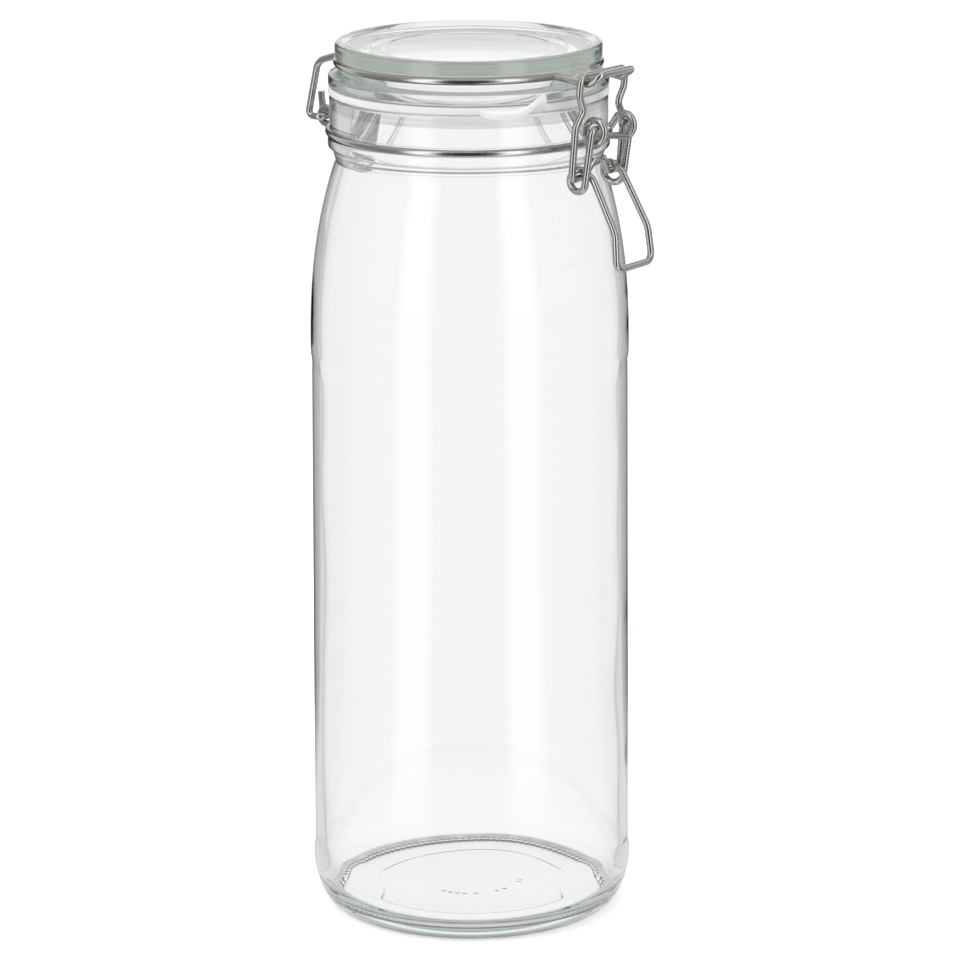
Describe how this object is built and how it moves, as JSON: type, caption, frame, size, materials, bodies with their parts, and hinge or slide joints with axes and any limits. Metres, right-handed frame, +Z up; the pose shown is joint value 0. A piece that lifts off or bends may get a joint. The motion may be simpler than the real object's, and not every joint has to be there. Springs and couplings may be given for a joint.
{
  "type": "clip-top glass jar",
  "caption": "Tall round glass storage jar with a glass lid, a tabbed rubber seal, a wire hinge at the back and a wire over-centre clasp in front.",
  "frame": {"origin": "on the jar's axis, level with the ring that the base stands on", "axes": "+Z up along the jar's axis, -Y towards the clasp, +Y towards the hinge, +X completing a right-handed frame"},
  "size_m": [0.1062, 0.1256, 0.2903],
  "materials": {
    "clear_glass": "clear smooth pressed glass, faintly green where it is thick",
    "white_rubber": "soft translucent white rubber",
    "stainless_wire": "drawn satin stainless wire"
  },
  "bodies": {
    "jar": {"jar_body": "clear_glass", "neck_wire": "stainless_wire"},
    "lid": {"lid_glass": "clear_glass", "gasket": "white_rubber", "lid_wire": "stainless_wire"},
    "lever": {"lever_wire": "stainless_wire"},
    "link": {"link_wire": "stainless_wire"}
  },
  "joints": [
    {"name": "lid_hinge", "type": "hinge", "parent": "jar", "child": "lid", "pos_m": [0, 0.05345, 0.26095], "axis": [-1, 0, 0], "range_deg": [0, 110]},
    {"name": "lever_pivot", "type": "hinge", "parent": "jar", "child": "lever", "pos_m": [0, -0.05589, 0.26792], "axis": [-1, 0, 0], "range_deg": [0, 88]},
    {"name": "link_pivot", "type": "hinge", "parent": "lever", "child": "link", "pos_m": [0, -0.04985, 0.25175], "axis": [-1, 0, 0], "range_deg": [-121, 0]}
  ],
  "couplings": [
    {"joint": "lever_pivot", "follows": "lid_hinge", "ratio": 0.8},
    {"joint": "link_pivot", "follows": "lid_hinge", "ratio": -1.1}
  ]
}
